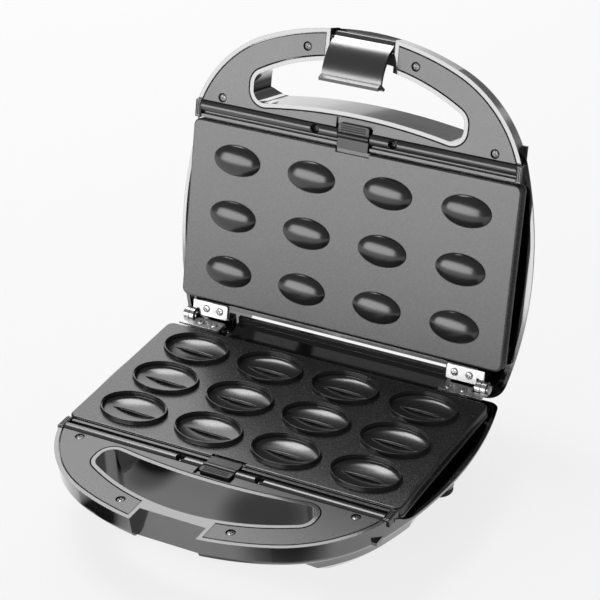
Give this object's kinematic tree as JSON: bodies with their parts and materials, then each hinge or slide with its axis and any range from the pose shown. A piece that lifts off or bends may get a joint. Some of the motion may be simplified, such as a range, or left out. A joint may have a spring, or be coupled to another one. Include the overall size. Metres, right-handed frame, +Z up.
{
  "type": "hinged biscuit mould maker",
  "caption": "Electric maker for nut-shaped biscuits: hinged halves with oval moulds and domes, handle bars, draped latch, plate clips and hinges",
  "frame": {"origin": "on the table under the middle of the open maker's overall box", "axes": "+Z up, -Y towards the handle, +X the right-hand side seen from the handle"},
  "size_m": [0.2324, 0.264, 0.2251],
  "materials": {
    "gloss_housing": "glossy moulded black, deep reflections",
    "gloss_latch": "glossy moulded black",
    "satin_deck": "fine-grained satin dark grey",
    "nonstick": "cast aluminium under dark speckled non-stick coating",
    "rail_plastic": "satin moulded black",
    "clip_plastic": "satin moulded black",
    "zinc_sheet": "zinc-plated pressed sheet",
    "zinc_pin": "zinc-plated turned steel",
    "zinc_screw": "zinc-plated cross-head screws",
    "black_screw": "black-plated cross-head screws",
    "tray_steel": "aluminised steel sheet",
    "heater_tube": "oxidised heater tube",
    "spring_wire": "drawn spring wire",
    "rubber": "black rubber",
    "thermostat_body": "cream moulded thermostat body",
    "fuse_sleeve": "woven glass sleeve",
    "terminal_body": "cream moulded terminal block",
    "gland_rubber": "black soft cord bushing",
    "wire_cover": "pale wire insulation",
    "lead_cover": "black flexible sleeve",
    "board": "brown resin board",
    "red_lens": "clear red lamp window",
    "green_lens": "clear green lamp window"
  },
  "bodies": {
    "base": {"base_shell": "gloss_housing", "base_deck_cover": "satin_deck", "base_rail": "rail_plastic", "base_rail_caps": "rail_plastic", "base_hinge_leaf_left": "zinc_sheet", "base_hinge_leaf_right": "zinc_sheet", "hinge_pin_left": "zinc_pin", "hinge_pin_right": "zinc_pin", "base_hinge_screws": "zinc_screw", "base_deck_screws": "black_screw", "base_rail_screws": "black_screw", "base_tray_screws": "zinc_screw", "base_tray": "tray_steel", "base_heater": "heater_tube", "base_heater_clamps": "tray_steel", "base_clip_spring": "spring_wire", "rubber_feet": "rubber", "thermostat": "thermostat_body", "thermal_fuse": "fuse_sleeve", "terminal_block": "terminal_body", "cord_gland": "gland_rubber", "base_wiring": "wire_cover", "link_lead": "lead_cover"},
    "lid": {"lid_shell": "gloss_housing", "lid_deck_cover": "satin_deck", "lid_rail": "rail_plastic", "lid_rail_caps": "rail_plastic", "lid_hinge_leaf_left": "zinc_sheet", "lid_hinge_leaf_right": "zinc_sheet", "lid_hinge_screws": "zinc_screw", "lid_deck_screws": "black_screw", "lid_rail_screws": "black_screw", "lid_tray_screws": "zinc_screw", "lid_tray": "tray_steel", "lid_heater": "heater_tube", "lid_heater_clamps": "tray_steel", "lid_clip_spring": "spring_wire", "lid_wiring": "wire_cover", "lamp_board": "board", "power_lens": "red_lens", "ready_lens": "green_lens"},
    "lower_plate": {"lower_plate": "nonstick"},
    "upper_plate": {"upper_plate": "nonstick"},
    "base_clip": {"base_plate_clip": "clip_plastic"},
    "lid_clip": {"lid_plate_clip": "clip_plastic"},
    "latch_pin": {"latch_pin": "zinc_pin"},
    "latch": {"latch": "gloss_latch"}
  },
  "joints": [
    {"name": "lid_hinge", "type": "hinge", "parent": "base", "child": "lid", "pos_m": [0, 0.0577, 0.0436], "axis": [-1, 0, 0], "range_deg": [-106.4, 0], "deforming": ["link_lead"]},
    {"name": "latch_pin_turn", "type": "hinge", "parent": "lid", "child": "latch_pin", "pos_m": [0, 0.11632, 0.21763], "axis": [1, 0, 0], "range_deg": [-72.4, 0.1]},
    {"name": "latch_swing", "type": "hinge", "parent": "latch_pin", "child": "latch", "pos_m": [0, 0.11632, 0.21763], "axis": [-1, 0, 0], "range_deg": [-14.35, 25]},
    {"name": "lower_plate_lift", "type": "slide", "parent": "base", "child": "lower_plate", "axis": [0, 0, 1], "range_m": [0, 0.012]},
    {"name": "upper_plate_lift", "type": "slide", "parent": "lid", "child": "upper_plate", "axis": [0, -0.9593, 0.2823], "range_m": [0, 0.03]},
    {"name": "base_clip_slide", "type": "slide", "parent": "base", "child": "base_clip", "axis": [0, -1, 0], "range_m": [0, 0.0025], "stiffness_N_per_m": 400, "springref_m": -0.002, "deforming": ["base_clip_spring"]},
    {"name": "lid_clip_slide", "type": "slide", "parent": "lid", "child": "lid_clip", "axis": [0, 0.2823, 0.9593], "range_m": [0, 0.0025], "stiffness_N_per_m": 400, "springref_m": -0.002, "deforming": ["lid_clip_spring"]}
  ],
  "couplings": [
    {"joint": "latch_pin_turn", "follows": "lid_hinge", "ratio": 0.68}
  ]
}
